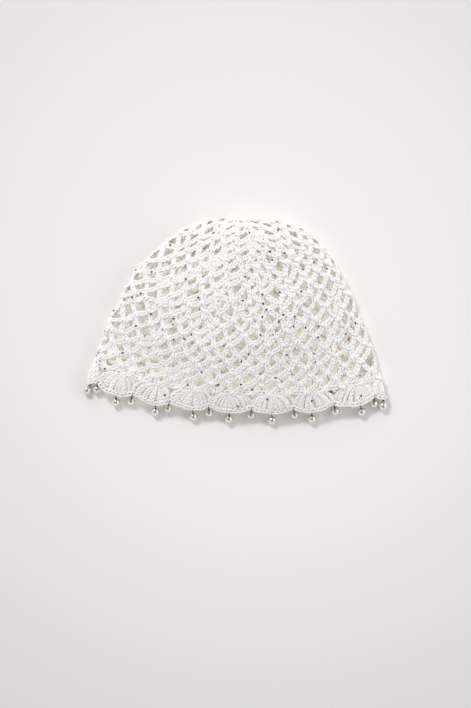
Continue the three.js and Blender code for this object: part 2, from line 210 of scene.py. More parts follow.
round_way = np.roll(cap_points[:, :-1], -1, axis=1) - np.roll(cap_points[:, :-1], 1, axis=1)
round_way = np.concatenate([round_way, round_way[:, :1]], axis=1)
down_way = np.gradient(cap_points, axis=0)
cap_normals = np.cross(round_way, down_way)
cap_normals[0] = (0, 1, 0)  # the first round is one point, the crown's centre
cap_normals /= np.linalg.norm(cap_normals, axis=2, keepdims=True)
print("cap shape:", cap_points.shape, "reaches, mm:", (np.ptp(cap_points, axis=(0, 1)) / MM).round(1))

# %% [markdown]
# ### Finding a place on the cap
# A maker counts stitches round the cap and rounds down it, so places here are counted the same
# way. Working out the shape afresh for each stitch would be slow. Blending the four nearest
# points of the grid is quick, and the grid is so fine that its steps can't be seen.


# %% A point for any turn and way
def blend_grid(grid, turn, way):
    t = (np.asarray(turn, float) % 1.0) * 2 * HALF_TURN
    w = np.clip(np.asarray(way, float) / WAY_END, 0, 1) * WAY_STEPS
    i = np.minimum(t.astype(int), 2 * HALF_TURN - 1)
    j = np.minimum(w.astype(int), WAY_STEPS - 1)
    ft, fw = (t - i)[..., None], (w - j)[..., None]
    upper = grid[j, i] * (1 - ft) + grid[j, i + 1] * ft
    lower = grid[j + 1, i] * (1 - ft) + grid[j + 1, i + 1] * ft
    return upper * (1 - fw) + lower * fw


def unit(vectors):
    return vectors / np.maximum(np.linalg.norm(vectors, axis=-1, keepdims=True), 1e-12)


def on_cap(turn, way, out=0.0):
    """Points in the middle of the fabric, or out from it, and the way out of the fabric there."""
    turn, way, out = np.broadcast_arrays(*(np.asarray(v, float) for v in (turn, way, out)))
    normals = unit(blend_grid(cap_normals, turn, way))
    return blend_grid(cap_points, turn, way) + normals * out[..., None], normals


def way_per_metre(turn, way=1.0):
    """How much way one metre of fabric takes, down the cap at this place."""
    step = 0.01
    a, b = on_cap(turn, np.asarray(way) - step)[0], on_cap(turn, way)[0]
    return step / np.linalg.norm(b - a, axis=-1)


def turn_per_metre(turn, way):
    step = 0.004
    a, b = on_cap(np.asarray(turn) - step, way)[0], on_cap(np.asarray(turn) + step, way)[0]
    return 2 * step / np.maximum(np.linalg.norm(b - a, axis=-1), 1e-6)


print("middle of the front hem, mm:", (on_cap(0.25, 1.0)[0] / MM).round(1))

# %% [markdown]
# ## Yarn
# A strand of yarn is a bent tube, so a curve with a round bevel is the natural tool. A stitch
# repeats thousands of times, so it is made once, with only a few dozen faces, turned into
# arrays, and then laid along many lines at once. Each face corner also gets a place along and
# round the yarn, which the yarn's finish needs for its twisted plies.

# %% Bent tubes as arrays
PLY_LENGTH = 3.2 * MM  # yarn for one full twist


def yarn_coordinates(points, faces, tubes, around):
    """For each face corner, a place along the yarn, in twists, and a place round it."""
    rings = len(points) // tubes // around
    middles = points.reshape(-1, around, 3).mean(axis=1).reshape(tubes, rings, 3)
    steps_long = np.linalg.norm(np.diff(middles, axis=1, append=middles[:, :1]), axis=2)
    along = np.concatenate([np.zeros((tubes, 1)), np.cumsum(steps_long, axis=1)], axis=1)
    ring, side = np.divmod(faces, around)
    tube, ring = np.divmod(ring, rings)
    wraps = (np.ptp(ring, axis=1) > 1)[:, None] & (ring == 0)
    side_wraps = (np.ptp(side, axis=1) > 1)[:, None] & (side == 0)
    u = along[tube, np.where(wraps, rings, ring)] / PLY_LENGTH
    v = np.where(side_wraps, around, side) / around
    return np.stack([u, v], axis=2)


def bent_tubes(lines, radius, closed, steps=1, sides=1):
    """Points, faces and yarn coordinates of tubes through the given lines of points."""
    curve = bpy.data.curves.new("stitch", "CURVE")
    curve.dimensions = "3D"
    curve.bevel_depth = radius
    curve.bevel_resolution = sides
    curve.resolution_u = steps
    curve.use_fill_caps = not closed
    for line in lines:
        spline = curve.splines.new("BEZIER")
        spline.bezier_points.add(len(line) - 1)
        spline.use_cyclic_u = closed
        for place, point in zip(line, spline.bezier_points):
            point.co = place
            point.handle_left_type = point.handle_right_type = "AUTO"
    holder = bpy.data.objects.new("stitch", curve)
    mesh = holder.to_mesh()
    points = np.empty(len(mesh.vertices) * 3)
    mesh.vertices.foreach_get("co", points)
    points = points.reshape(-1, 3)
    faces = np.array([list(p.vertices) for p in mesh.polygons if len(p.vertices) == 4])
    holder.to_mesh_clear()
    bpy.data.objects.remove(holder)
    bpy.data.curves.remove(curve)
    uv = yarn_coordinates(points, faces, len(lines), 4 + 2 * sides)
    return {"points": points, "faces": faces, "uv": uv}


# %% [markdown]
# ### A chain stitch
# In a real chain each stitch is a long loop drawn through the one before it, which leaves two
# strands side by side. The whole chain could be one long knotted line, but at this size the eye
# reads only the row of loops. So one loop is made, with a short core under it that joins it to
# the next and closes the gap in its middle.

# %% One loop of chain and its core
YARN_RADIUS = 0.95 * MM
CORE_RADIUS = 1.3 * YARN_RADIUS
CHAIN_PITCH = 3.9 * MM
CHAIN_LOOP = np.array([  # along, across, out of the fabric: one side of a chain stitch's loop
    (-0.40, 0.00, -0.95),
    (0.60, -1.00, -0.30),
    (2.30, -1.45, 0.50),
    (4.10, -1.05, 0.90),
    (5.00, -0.10, 0.40),
]) * MM
CORE_LINE = np.array([(-0.2, 0.0, -0.3), (2.0, 0.25, 0.1), (4.1, 0.0, -0.3)]) * MM
chain_line = np.concatenate([CHAIN_LOOP, CHAIN_LOOP[-2:0:-1] * [1, -1, 1]])
chain_stitch = bent_tubes([chain_line], YARN_RADIUS, closed=True)
core_stitch = bent_tubes([CORE_LINE], CORE_RADIUS, closed=False)
print("chain stitch:", len(chain_stitch["faces"]), "faces, core:", len(core_stitch["faces"]))

# %% [markdown]
# ### Laying stitches
# Real stitches follow the fabric wherever it bends. An Array and a Curve modifier would bend one
# row, but hundreds of rows would need hundreds of objects. Here one function bends copies of a
# stitch along many lines at once. What would go into the table is pressed flat on top of it, as
# soft yarn is.

# %% Pressing soft yarn on the table
PRESS_HEIGHT = 1.3 * MM  # yarn lower than this is pressed
PRESSED_FLOOR = 0.05  # share of that height that the lowest yarn keeps


def rest(points):
    """Presses what would go into the table flat on top of it."""
    z = points[..., 2]
    give = np.exp(np.minimum(0, z - PRESS_HEIGHT) / PRESS_HEIGHT)
    pressed = PRESS_HEIGHT * (PRESSED_FLOOR + (1 - PRESSED_FLOOR) * give)
    points[..., 2] = np.where(z < PRESS_HEIGHT, pressed, z)
    return points


print("yarn at the table's height is lifted to, mm:", (rest(np.zeros(3))[2] / MM).round(2))


# %% Laying a stitch along many lines
def even_lines(turns, ways, outs):
    """Evenly stepped lines through places on the cap, the way out of it, and their lengths."""
    lines, normals = on_cap(turns, ways, outs)
    count, samples = lines.shape[:2]
    steps = np.linalg.norm(np.diff(lines, axis=1), axis=2)
    along = np.concatenate([np.zeros((count, 1)), np.cumsum(steps, axis=1)], axis=1)
    shares = np.linspace(0, 1, samples)
    place = np.stack([np.interp(shares, a / a[-1], np.arange(samples)) for a in along])
    i = np.minimum(place.astype(int), samples - 2)
    f = (place - i)[..., None]
    rows = np.arange(count)[:, None]
    lines = lines[rows, i] * (1 - f) + lines[rows, i + 1] * f
    normals = unit(normals[rows, i] * (1 - f) + normals[rows, i + 1] * f)
    return lines, normals, along[:, -1:]


def lay(stitch, turns, ways, outs, repeats, width=1.0, depth=1.0, length=CHAIN_PITCH):
    """Copies a stitch `repeats` times along each of many lines of places on the cap.
    turns, ways and outs have a row for each line. width and depth have a value for each line."""
    lines, normals, total = even_lines(turns, ways, outs)
    count, samples = lines.shape[:2]
    forward = unit(np.gradient(lines, axis=1))
    across = unit(np.cross(normals, forward))
    normals = np.cross(forward, across)

    local = stitch["points"]
    along_share = (np.arange(repeats)[:, None] + local[:, 0] / length) / repeats  # repeats, points
    at = np.clip(along_share, 0, 1) * (samples - 1)
    past = (along_share - np.clip(along_share, 0, 1))[None] * total[..., None]
    i = np.minimum(at.astype(int), samples - 2)
    f = (at - i)[None, ..., None]

    def pick(values):
        return values[:, i] * (1 - f) + values[:, i + 1] * f

    width = np.broadcast_to(np.asarray(width, float), (count,))[:, None, None, None]
    depth = np.broadcast_to(np.asarray(depth, float), (count,))[:, None, None, None]
    points = pick(lines) + past[..., None] * pick(forward)
    points = points + pick(across) * local[:, 1][None, None, :, None] * width
    points = points + pick(normals) * local[:, 2][None, None, :, None] * depth
    copies = count * repeats
    offsets = np.arange(copies)[:, None, None] * len(local)
    faces = (stitch["faces"][None] + offsets).reshape(-1, 4)
    uv = np.tile(stitch["uv"][None], (copies, 1, 1, 1)).reshape(-1, 4, 2)
    return {"points": rest(points.reshape(-1, 3)), "faces": faces, "uv": uv}


# %% [markdown]
# ### From arrays to a piece
# Thousands of stitches make one piece of the cap. Joining them as Blender objects is slow, so
# their arrays are put end to end and the mesh is filled in one go. Each piece then rides on the
# cap's body, stands for the solids that it replaces, and takes its finish.


# %% Joining stitches and making a piece
def join(parts):
    counts = np.cumsum([0] + [len(p["points"]) for p in parts[:-1]])
    return {
        "points": np.concatenate([p["points"] for p in parts]),
        "faces": np.concatenate([p["faces"] + c for p, c in zip(parts, counts)]),
        "uv": np.concatenate([p["uv"] for p in parts]),
    }


def make_piece(name, made, material, slot, *nodes, smooth=True):
    """A mesh object from arrays, riding on the cap, that stands for the named solids."""
    faces = made["faces"]
    mesh = bpy.data.meshes.new(name)
    mesh.vertices.add(len(made["points"]))
    mesh.vertices.foreach_set("co", made["points"].ravel())
    mesh.loops.add(faces.size)
    mesh.loops.foreach_set("vertex_index", faces.ravel())
    mesh.polygons.add(len(faces))
    mesh.polygons.foreach_set("loop_start", np.arange(len(faces)) * faces.shape[1])
    if "uv" in made:
        layer = mesh.uv_layers.new(name="yarn")
        layer.data.foreach_set("uv", made["uv"].ravel())
    mesh.update(calc_edges=True)
    mesh.validate()
    if smooth:
        mesh.shade_smooth()
    mesh.materials.append(material)
    piece = bpy.data.objects.new(name, mesh)
    bpy.context.collection.objects.link(piece)
    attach(piece, "root")
    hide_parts(*nodes)
    print(name, "triangles:", len(faces) * (faces.shape[1] - 2))


# %% [markdown]
# ## Finishes
# A finish is a small network of nodes, and most of it is sums. Math nodes could be added and
# linked one by one, which hides the formula. A small class lets the maths on node sockets be
# written as ordinary expressions, and one function adds every other kind of node.


# %% A socket that can be used in expressions
class Socket:
    """One output of a material's nodes, with arithmetic that adds Math nodes."""

    def __init__(self, tree, output):
        self.tree, self.output = tree, output

    def _math(self, operation, *values):
        return add_node(self.tree, "ShaderNodeMath", {"operation": operation}, dict(enumerate(values)))

    def __add__(self, other):
        return self._math("ADD", self, other)

    __radd__ = __add__

    def __mul__(self, other):
        return self._math("MULTIPLY", self, other)

    __rmul__ = __mul__

    def sine(self):
        return self._math("SINE", self)

    def size(self):
        return self._math("ABSOLUTE", self)

    def limited(self):
        return add_node(self.tree, "ShaderNodeClamp", {}, {0: self})


def add_node(tree, kind, settings, inputs, output=0):
    """A node of this kind with its settings, and the values or links of its sockets."""
    node = tree.nodes.new(kind)
    for name, value in settings.items():
        if name == "stops":
            for k, (place, colour) in enumerate(value):
                stop = node.color_ramp.elements[k] if k < 2 else node.color_ramp.elements.new(place)
                stop.position, stop.color = place, colour
        else:
            setattr(node, name, value)
    for name, value in inputs.items():
        if isinstance(value, Socket):
            tree.links.new(value.output, node.inputs[name])
        else:
            node.inputs[name].default_value = value
    return Socket(tree, node.outputs[output])


# %% Short forms for what every finish needs
def new_material(name, **constants):
    """A material, its node tree and its shader with these constants set on its own sockets."""
    material = bpy.data.materials.new(name)
    material.use_nodes = True
    shader = material.node_tree.nodes["Principled BSDF"]
    for socket, value in constants.items():
        shader.inputs[socket.replace("_", " ")].default_value = value
    print("finish:", name)
    return material, material.node_tree, shader


def noise(tree, scale, detail):
    """Noise from 0 to 1 on the object's own coordinates."""
    place = add_node(tree, "ShaderNodeTexCoord", {}, {}, "Object")
    return add_node(tree, "ShaderNodeTexNoise", {}, {"Vector": place, "Scale": scale, "Detail": detail})


def ramp(factor, *stops):
    """A colour that goes from one stop to the next. A stop is a factor and a colour."""
    settings = {"stops": [(place, (*colour, 1)) for place, colour in stops]}
    return add_node(factor.tree, "ShaderNodeValToRGB", settings, {"Fac": factor})


def feed(value, node, socket):
    value.tree.links.new(value.output, node.inputs[socket])


# %% [markdown]
# ### Cotton yarn
# Cotton yarn is matt and slightly fuzzy, with twisted plies that catch the light. Modelling the
# plies would take ten times the faces. A bump from the yarn coordinates gives them instead, and
# the same ply pattern paints the colour darker in the grooves between the plies, as painted shade.
# Fine noise gives the loose fibres between them, and broad noise makes some yarn a little whiter.

# %% Cotton yarn
PLIES = 3
yarn, tree, shader = new_material("cotton_yarn", Roughness=0.92, Sheen_Weight=0.25, Sheen_Roughness=0.6,
                                  Specular_IOR_Level=0.25)
uv = add_node(tree, "ShaderNodeUVMap", {"uv_map": "yarn"}, {})
along_yarn = add_node(tree, "ShaderNodeSeparateXYZ", {}, {0: uv})
round_yarn = Socket(tree, along_yarn.output.node.outputs[1])
plies = ((along_yarn + round_yarn * PLIES) * math.pi).sine().size()
fibres = noise(tree, 2600.0, 3.0)
patches = noise(tree, 55.0, 2.0)
relief = plies * 0.7 + fibres * 0.6
bump = add_node(tree, "ShaderNodeBump", {}, {"Strength": 0.55, "Distance": 0.3 * MM, "Height": relief})
# painted shade: the ply term paints the grooves between the plies darker; fibres and patches vary the tone
# at random
tone_and_groove_shade = (plies * 0.35 + fibres * 0.25 + patches * 0.55).limited()
feed(bump, shader, "Normal")
feed(ramp(tone_and_groove_shade, (0.15, (0.835, 0.825, 0.800)), (0.70, (0.965, 0.960, 0.950))), shader, "Base Color")

# %% [markdown]
# ## The net
# The real net is worked in rounds of chain loops. Each loop hangs between two knots of the
# round before, and a knot of the next round grips the bottom of it. So the rounds are rows of
# knots, each about half a loop on from the row above, and the loops are U shapes between them.
# The rows begin with few knots at the crown and gain some every few rows, by an extra loop
# worked into the same place. Hand work is uneven, so each knot sits a little off its place.

# %% Rows of knots
FANS = 16
TIP_PHASE = 0.105  # where the first fan's tip stands, as a share of one fan
BORDER_WIDTH = 20 * MM
NET_START = 0.035  # the way at which the first row lies
ROW_LOOPS = [8, 12, 16, 20, 22, 24, 26, 26, 28, 28, 28, 30, 30] + 10 * [32]
NET_ROWS = len(ROW_LOOPS)
SLANT = 0.16  # how far each knot hangs aside from the middle of its loop, as a share of a loop
KNOT_ASIDE, KNOT_UP = 0.11, 0.095  # unevenness, as shares of a loop's width and of two rows
MIDDLE_SAMPLES = 400


def hem_top(turn):
    """The way at which the net meets the border."""
    return 1 - BORDER_WIDTH * way_per_metre(turn)


border_way = float(hem_top(0.25))
front_samples = np.linspace(NET_START, border_way, MIDDLE_SAMPLES)
front_line = on_cap(0.25, front_samples)[0]
front_along = np.concatenate([[0], np.cumsum(np.linalg.norm(np.diff(front_line, axis=0), axis=1))])
front_ways = np.interp(np.linspace(0, front_along[-1], NET_ROWS), front_along, front_samples)

row_phases = [0.0] * NET_ROWS
row_phases[-1] = TIP_PHASE / FANS
for row in range(NET_ROWS - 2, -1, -1):
    same = ROW_LOOPS[row] == ROW_LOOPS[row + 1]
    row_phases[row] = row_phases[row + 1] - ((0.5 + SLANT) / ROW_LOOPS[row] if same else 0)


def row_way(row, turn):
    share = (front_ways[row] - NET_START) / (border_way - NET_START)
    return NET_START + (hem_top(turn) - NET_START) * share


rows = []
for row, count in enumerate(ROW_LOOPS):
    turns = row_phases[row] + np.arange(count) / count
    ways = row_way(row, turns)
    loose = 0.0 if row == NET_ROWS - 1 else 1.0  # the border holds the last row in its place
    pitch = 1 / count
    two_rows = front_ways[min(row + 1, NET_ROWS - 1)] - front_ways[max(row - 1, 0)]
    turns = turns + loose * rng.normal(0, KNOT_ASIDE, count) * pitch
    ways = ways + loose * rng.normal(0, KNOT_UP, count) * two_rows
    rows.append((turns, ways))
print("rows of knots:", NET_ROWS, "loops:", sum(ROW_LOOPS))

# %% [markdown]
# ### Where a loop hangs
# A real loop of chain leaves its knot steeply, sags, and rises to the next knot. Gravity could
# be simulated for each, but a lying net keeps the shape that the hook gave it. So each loop is a
# drawn U, its bottom at its own knot and its ends at the two nearest knots of the row above.

# %% Lines of the loops
LOOP_SAMPLES = 25
LOOP_SAG = 0.55  # 0 gives straight sides, 1 a round bottom
LOOP_SPREAD = 0.13  # how far the sides bow in near the knots
LOOP_OUT, KNOT_DIP = 0.35 * MM, 0.9 * MM  # the bottom stands out of the fabric, the ends dip in
NEARLY_HALF = 0.49  # of a loop, to each side of its middle
SHARED_KNOT_BOW = 0.2  # of a loop, where both its ends are in the same knot


def loop_lines(starts, bottoms, ends):
    """U-shaped lines of places from one knot, through the bottom of the loop, to the next."""
    s = np.linspace(0, 1, LOOP_SAMPLES)
    from_bottom = np.abs(2 * s - 1)
    first = s <= 0.5
    a_turn = np.where(first, starts[0][:, None], ends[0][:, None])
    a_way = np.where(first, starts[1][:, None], ends[1][:, None])
    b_turn, b_way = bottoms[0][:, None], bottoms[1][:, None]
    reach = from_bottom * (1 - LOOP_SPREAD * from_bottom ** 3)
    turns = b_turn + (a_turn - b_turn) * reach
    climb = (1 - LOOP_SAG) * from_bottom + LOOP_SAG * (1 - np.cos(from_bottom * math.pi / 2))
    ways = b_way + (a_way - b_way) * climb
    outs = np.broadcast_to(LOOP_OUT - KNOT_DIP * from_bottom ** 4, turns.shape)
    return turns, ways, outs


def loops_of(row):
    """Where the loops of one row start, hang lowest and end."""
    turns, ways = rows[row]
    upper_turns, upper_ways = rows[row - 1]
    count, upper = len(turns), len(upper_turns)
    even_turns = row_phases[row] + np.arange(count) / count

    def knot_above(turn):
        return np.round((turn - row_phases[row - 1]) * upper).astype(int)

    before = knot_above(even_turns - NEARLY_HALF / count)
    after = knot_above(even_turns + NEARLY_HALF / count)
    bow = np.where(before == after, SHARED_KNOT_BOW / count, 0.0)
    start_turn = upper_turns[before % upper] + before // upper - bow
    end_turn = upper_turns[after % upper] + after // upper + bow
    starts = (start_turn, upper_ways[before % upper])
    ends = (end_turn, upper_ways[after % upper])
    return starts, (turns, ways), ends


print("loop at the hem, mm wide:", round(1 / ROW_LOOPS[-1] / float(turn_per_metre(0.25, 1.0)) / MM, 1))

# %% [markdown]
# ### The yarn of a row
# A maker puts as many chain stitches in a loop as its length takes. Stretching one loop of yarn
# to fit would give fat and thin yarn, so the number of stitches follows the loop's length. Each
# loop is a little wider or flatter than the last, as worked yarn is.

# %% Chain along each loop
CHAIN_WIDTHS = np.linspace(1.3, 1.1, NET_ROWS)  # the chains lie flatter near the crown
WIDTH_VARIES = 0.12
CHAIN_DEPTH, DEPTH_VARIES = 1.05, 0.08
FEWEST_STITCHES = 3


def line_lengths(lines):
    return np.linalg.norm(np.diff(on_cap(*lines)[0], axis=1), axis=2).sum(axis=1)


def row_yarn(row):
    lines = loop_lines(*loops_of(row))
    stitches = np.maximum(FEWEST_STITCHES, np.round(line_lengths(lines) / CHAIN_PITCH)).astype(int)
    made = []
    for number in np.unique(stitches):
        chosen = stitches == number
        some = int(chosen.sum())
        places = [v[chosen] for v in lines]
        widths = rng.normal(CHAIN_WIDTHS[row], WIDTH_VARIES, some)
        depths = rng.normal(CHAIN_DEPTH, DEPTH_VARIES, some)
        made.append(lay(chain_stitch, *places, int(number), width=widths, depth=depths))
        made.append(lay(core_stitch, *places, int(number)))
    return join(made)


last_loops = line_lengths(loop_lines(*loops_of(NET_ROWS - 1)))
print("chain in a loop of the last row, mm:", (last_loops.mean() / MM).round(1))

# %% [markdown]
# ### Knots
# Each knot is a short stitch whose yarn goes twice round the loop below it. A true knot's path is
# hard to see even up close, so two tilted rings of yarn stand for it. Two kinds, leaning either
# way, are enough to hide that they repeat.

# %% Knots that grip the loops
KNOT_RINGS = [  # along the round, across it, tilt in degrees
    (-1.3, 0.3, 14),
    (1.0, -0.2, 28),
]
KNOT_POINTS = 8
KNOT_RADIUS = 1.2 * YARN_RADIUS
KNOT_HEIGHT, KNOT_DEPTH = 2.15 * MM, 1.9 * MM
KNOT_HALF = 3 * MM  # half the length of fabric that a knot takes
KNOT_SAMPLES = 5
KNOT_SWING = 0.9 * MM  # how far a knot's ends are turned up or down
KNOT_BELOW = 0.4 * MM  # how far under the loop's bottom its knot sits
KNOT_OUT, OUT_VARIES = 0.1, 0.25  # millimetres
KNOT_WIDTH_VARIES = 0.09


def knot_line(along, across, tilt):
    angles = np.linspace(0, TAU, KNOT_POINTS + 1)[:-1]
    lean = math.tan(math.radians(tilt))
    up = KNOT_HEIGHT * np.cos(angles)
    return np.stack([along * MM + lean * up, across * MM + up, KNOT_DEPTH * np.sin(angles)], axis=1)


knots = []
for lean in (1, -1):
    lines = [knot_line(along, across, tilt * lean) for along, across, tilt in KNOT_RINGS]
    knots.append(bent_tubes(lines, KNOT_RADIUS, closed=True))
print("knot:", len(knots[0]["faces"]), "faces")


# %% Laying the knots of a row
def row_knots(row):
    """A knot on the bottom of each loop of a row, leaning either way."""
    turns, ways = rows[row]
    per_turn = turn_per_metre(turns, ways)
    per_way = way_per_metre(turns, ways)
    s = np.linspace(-1, 1, KNOT_SAMPLES)
    swing = rng.normal(0, 1, len(turns)) * KNOT_SWING
    line_turns = turns[:, None] + s * KNOT_HALF * per_turn[:, None]
    line_ways = ways[:, None] + (s * swing[:, None] + KNOT_BELOW) * per_way[:, None]
    outs = np.broadcast_to(rng.normal(KNOT_OUT, OUT_VARIES, len(turns))[:, None] * MM, line_turns.shape)
    widths = rng.normal(1.0, KNOT_WIDTH_VARIES, len(turns))
    leans = rng.random(len(turns)) < 0.5
    made = []
    for chosen, knot in zip((leans, ~leans), knots):
        if chosen.any():
            moved = dict(knot, points=knot["points"] + [KNOT_HALF, 0, 0])
            made.append(lay(moved, line_turns[chosen], line_ways[chosen], outs[chosen], 1,
                            width=widths[chosen], length=2 * KNOT_HALF))
    return join(made)


# %% [markdown]
# ### The net's pieces
# The real net is one fabric. One mesh for all of it would pass the 200,000 triangles above which
# the export thins a piece, so it is cut between rows into five pieces that lie edge to edge. Two
# close rounds of chain shut the crown's centre, where a cap worked downwards starts with a ring.

# %% Making the net
NET_PIECES = {  # name: rows of loops, first and last
    "net_yarn_crown": (1, 9),
    "net_yarn_upper": (10, 13),
    "net_yarn_middle": (14, 16),
    "net_yarn_lower": (17, 19),
    "net_yarn_hem": (20, 22),
}
CENTRE_WAYS = (0.012, 0.028)
CENTRE_LINES = 4  # lines of chain in one of the centre's rounds
CENTRE_SAMPLES = 9


def centre_round(way):
    starts = np.arange(CENTRE_LINES) / CENTRE_LINES
    turns = starts[:, None] + np.linspace(0, 1 / CENTRE_LINES, CENTRE_SAMPLES)
    lines = (turns, np.full(turns.shape, way), np.zeros(turns.shape))
    return lay(chain_stitch, *lines, max(1, round(float(line_lengths(lines)[0]) / CHAIN_PITCH)))


net_points = []
for name, (first, last) in NET_PIECES.items():
    parts = [row_yarn(row) for row in range(first, last + 1)]
    parts += [row_knots(row) for row in range(first, last + 1)]
    if first == 1:
        parts += [centre_round(way) for way in CENTRE_WAYS]
    made = join(parts)
    net_points.append(made["points"])
    make_piece(name, made, yarn, "yarn", "net_crown")

# %% [markdown]
# ## The border
# Each fan is a bunch of tall stitches worked into one place, so its strands start together under
# the net and spread out to the scalloped edge. The fans of a real border are pulled about
# unevenly. Random places would not match the pearls, so the tips and dips come from the same
# table as the pearls that hang on them, in order round the hem from the right fold.

# %% Tips and dips round the hem
SCALLOP_DEPTH, SCALLOP_ROUNDNESS = 5 * MM, 2.2
FRONT_DROPS = [  # millimetres to the right, degrees that the pearl swings
    (7, -15), (10, -14), (13, 4), (7, 4), (3, -4), (4, 6), (1, 0), (0, -5), (-3, -6),
    (-5, 5), (-2, 8), (-7, -6), (-1.5, 5), (-6.5, -4), (-3, 6), (-4, 3), (0, -12),
]
BACK_DROPS = [
    (-2, 8), (-1, -10), (2, 3), (-1, -12), (-3, 5), (1, 9), (3, -4), (-1, 12),
    (-2, -6), (2, 10), (1, 4), (-2, 10), (3, -5), (6, -10), (9, -12),
]
DROPS = np.array(FRONT_DROPS + BACK_DROPS, float)
even_turns = (np.arange(2 * FANS) / 2 + TIP_PHASE) / FANS
drop_turns = even_turns - DROPS[:, 0] * MM * turn_per_metre(even_turns, 1.0)
round_turns = np.concatenate([drop_turns[-1:] - 1, drop_turns, drop_turns[:2] + 1])


def hem_way(turn):
    """Where the scalloped edge lies: lowest at a fan's tip, higher in the dips between fans."""
    turn = np.asarray(turn, float) % 1.0
    span = np.clip(np.searchsorted(round_turns, turn) - 1, 0, len(round_turns) - 2)
    share = (turn - round_turns[span]) / (round_turns[span + 1] - round_turns[span])
    from_tip = np.where(span % 2 == 1, share, 1 - share)
    return 1 - SCALLOP_DEPTH * from_tip ** SCALLOP_ROUNDNESS * way_per_metre(turn)


print("fans:", FANS, "drops:", len(DROPS))

# %% [markdown]
# ### A strand of a fan
# A tall stitch is yarn wrapped round the hook and drawn through itself, so it looks like two
# yarns twisted together. A texture of stripes would stay flat at the edge of a fan. Two tubes
# that wind round each other give real grooves, with few faces.

# %% A twisted strand
STRAND_LENGTH = 20 * MM
STRAND_TURNS = 2.5  # how often the two yarns go round each other
STRAND_RADIUS = 0.85 * MM
STRAND_POINTS = 16
STRAND_APART, STRAND_LOOSENS = 0.45 * MM, 0.5 * MM  # from the middle at the start, added by the end
STRAND_FLATNESS = 0.8


def twisted_strand():
    """Two yarns twisted round each other, close together at the start and looser at the end."""
    lines = []
    s = np.linspace(0, 1, STRAND_POINTS)
    for start in (0, math.pi):
        angle = start + TAU * STRAND_TURNS * s
        spread = STRAND_APART + STRAND_LOOSENS * s
        across, out = spread * np.cos(angle), STRAND_FLATNESS * spread * np.sin(angle)
        lines.append(np.stack([s * STRAND_LENGTH, across, out], axis=1))
    return bent_tubes(lines, STRAND_RADIUS, closed=False)


strand = twisted_strand()
print("strand of a fan:", len(strand["faces"]), "faces")

# %% [markdown]
# ### Fans of tall stitches
# In a real fan the middle stitches run straight to the tip and the outer ones bend down at the
# sides. Turning copies of one strand about a point would make them cross the edge. So each
# strand gets a line of its own, from a short base under the net to its place on the scallop,
# with a plain core beneath so that no light shows between the strands.

# %% Lines and strands of the fans
STRANDS = 17
HUB_HALF = 4.0 * MM  # how far to each side a fan's stitches start from its middle
HUB_BELOW = 0.5 * MM
EDGE_INSET = 1.6 * MM  # how far from the scalloped edge the strands end
FAN_FILL = 0.95  # share of the way from tip to dip that the strands reach
FAN_SAMPLES = 17
OUTER_BEND, BEND_POWER = 0.85, 1.5  # how late the outermost strand bends down, how that grows
ASIDE_VARIES, OUT_BY = 0.05, 0.5  # share of half a fan, millimetres out of the fabric
STRAND_WIDTH, STRAND_WIDTH_VARIES = 1.1, 0.14
UNDER_BY, UNDER_STITCHES, UNDER_WIDTH = 0.9 * MM, 4, 1.6  # the plain core beneath each strand


def fan_lines():
    """Lines from each fan's start to the scalloped edge, the outer ones bending down."""
    s = np.linspace(0, 1, FAN_SAMPLES)
    turns, ways, outs = [], [], []
    for fan in range(FANS):
        tip = drop_turns[2 * fan]
        left = round_turns[2 * fan]
        right = round_turns[2 * fan + 2]
        for number in range(STRANDS):
            aside = (2 * number / (STRANDS - 1) - 1) + rng.normal(0, ASIDE_VARIES)
            end = tip + (aside * (right - tip) if aside > 0 else -aside * (left - tip)) * FAN_FILL
            start = tip + aside * HUB_HALF * float(turn_per_metre(tip, 1.0))
            bend = abs(aside) ** BEND_POWER
            turn = start + (end - start) * (s * (1 - bend) + np.sin(s * math.pi / 2) * bend)
            top = 1 - (BORDER_WIDTH - HUB_BELOW) * way_per_metre(turn)
            edge = hem_way(turn) - EDGE_INSET * way_per_metre(turn)
            down = s * (1 - OUTER_BEND * bend) + s ** 3 * OUTER_BEND * bend
            turns.append(turn)
            ways.append(top + (edge - top) * down)
            outs.append((rng.normal(0, OUT_BY) + OUT_BY * np.sin(s * math.pi)) * MM)
    return np.array(turns), np.array(ways), np.array(outs)


lines = fan_lines()
under = (lines[0], lines[1], lines[2] - UNDER_BY)
strand_widths = rng.normal(STRAND_WIDTH, STRAND_WIDTH_VARIES, len(lines[0]))
fans = join([
    lay(strand, *lines, 1, width=strand_widths, length=STRAND_LENGTH),
    lay(core_stitch, *under, UNDER_STITCHES, width=UNDER_WIDTH),
])
print("strands:", len(lines[0]))

# %% [markdown]
# ### Chain above the fans and along the edge
# A row of chain covers the places where the fans start, and a corded edge runs round the
# scallops. A single bent tube would look like piping. The same chain stitch as in the net is laid
# from each tip or dip to the next, pulled out of line a little here and there.

# %% Two rounds of chain
BAND_ABOVE, BAND_OUT, BAND_WIDTH = 0.8 * MM, 0.1 * MM, 1.1  # above the border, out of the fabric
EDGE_ABOVE, EDGE_OUT, EDGE_WIDTH = 1.5 * MM, 0.3 * MM, 1.0  # above the edge, out of the fabric
CHAIN_PULL = 0.8 * MM
PULL_POINTS, CHAIN_SAMPLES = 5, 21
FEWEST_IN_LINE = 2
ROUND_WIDTH_VARIES = 0.06


